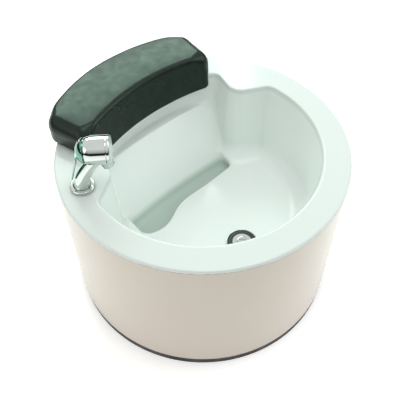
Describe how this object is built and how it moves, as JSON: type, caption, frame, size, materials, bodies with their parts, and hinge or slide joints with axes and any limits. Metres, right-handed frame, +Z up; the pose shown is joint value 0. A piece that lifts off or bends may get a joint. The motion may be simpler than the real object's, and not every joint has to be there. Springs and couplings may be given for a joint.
{
  "type": "foot spa basin",
  "caption": "Round free-standing foot spa basin: glossy white bowl with a sloping heel bench, grey drum casing, black curved footrest cushion, chrome lever tap and a floor waste with stopper.",
  "frame": {"origin": "on the floor at the centre of the drum-shaped casing", "axes": "+Z up, +Y from the open front of the bowl towards the footrest, +X to the right when facing the footrest; the tap stands on the -X side"},
  "size_m": [0.6, 0.6041, 0.495],
  "materials": {
    "shell": "glossy acrylic",
    "casing": "satin panel",
    "plinth": "matte black",
    "board": "raw birch plywood",
    "frame": "grey powder coat",
    "screws": "zinc plated",
    "cushion": "black vinyl skin",
    "peg_plastic": "moulded nylon",
    "chrome": "polished",
    "steel": "brushed",
    "brass": "raw",
    "ceramic": "ground",
    "seal": "black",
    "waste_plastic": "moulded white"
  },
  "bodies": {
    "tub": {"aerator": "chrome", "base_plate": "board", "base_ring": "plinth", "basin_shell": "shell", "cartridge": "ceramic", "cartridge_dome": "chrome", "cartridge_nut": "brass", "cold_inlet_tail": "brass", "cold_inlet_union": "brass", "cradle_post_front_left": "frame", "cradle_post_front_right": "frame", "cradle_post_rear_left": "frame", "cradle_post_rear_right": "frame", "deck_ring": "board", "drain_flange": "chrome", "drain_gasket": "seal", "drain_lock_nut": "waste_plastic", "drain_under_washer": "seal", "drum_end_cap": "chrome", "floor_board": "board", "frame_leg_front_left": "frame", "frame_leg_front_right": "frame", "frame_leg_rear_left": "frame", "frame_leg_rear_right": "frame", "hot_inlet_tail": "brass", "hot_inlet_union": "brass", "leg_screws": "screws", "outer_skirt": "casing", "peg_socket_left": "peg_plastic", "peg_socket_right": "peg_plastic", "post_screws": "screws", "tailpiece_nut": "waste_plastic", "tap_body": "chrome", "tap_clamp_washer": "steel", "tap_flange": "chrome", "tap_gasket": "seal", "tap_lock_nut": "brass", "tap_seal_washer": "seal", "tap_shank": "brass", "waste_tailpiece": "waste_plastic"},
    "footrest": {"footrest_pad": "cushion", "footrest_plate": "board", "footrest_peg_left": "peg_plastic", "footrest_peg_right": "peg_plastic"},
    "stopper": {"stopper_plug": "seal", "stopper_knob": "chrome"},
    "tap_turn": {"stem_turret": "brass", "stem_pin": "steel"},
    "lever": {"tap_lever": "chrome", "index_plug": "chrome"}
  },
  "joints": [
    {"name": "footrest_lift", "type": "slide", "parent": "tub", "child": "footrest", "axis": [0, 0, 1], "range_m": [0, 0.06]},
    {"name": "stopper_lift", "type": "slide", "parent": "tub", "child": "stopper", "axis": [0, 0, 1], "range_m": [0, 0.04]},
    {"name": "tap_temperature", "type": "hinge", "parent": "tub", "child": "tap_turn", "pos_m": [-0.21702, 0.06272, 0.468], "axis": [0.766, -0.6428, 0], "range_deg": [-45, 45]},
    {"name": "tap_flow", "type": "hinge", "parent": "tap_turn", "child": "lever", "pos_m": [-0.21702, 0.06272, 0.468], "axis": [0.6428, 0.766, 0], "range_deg": [0, 18]}
  ]
}
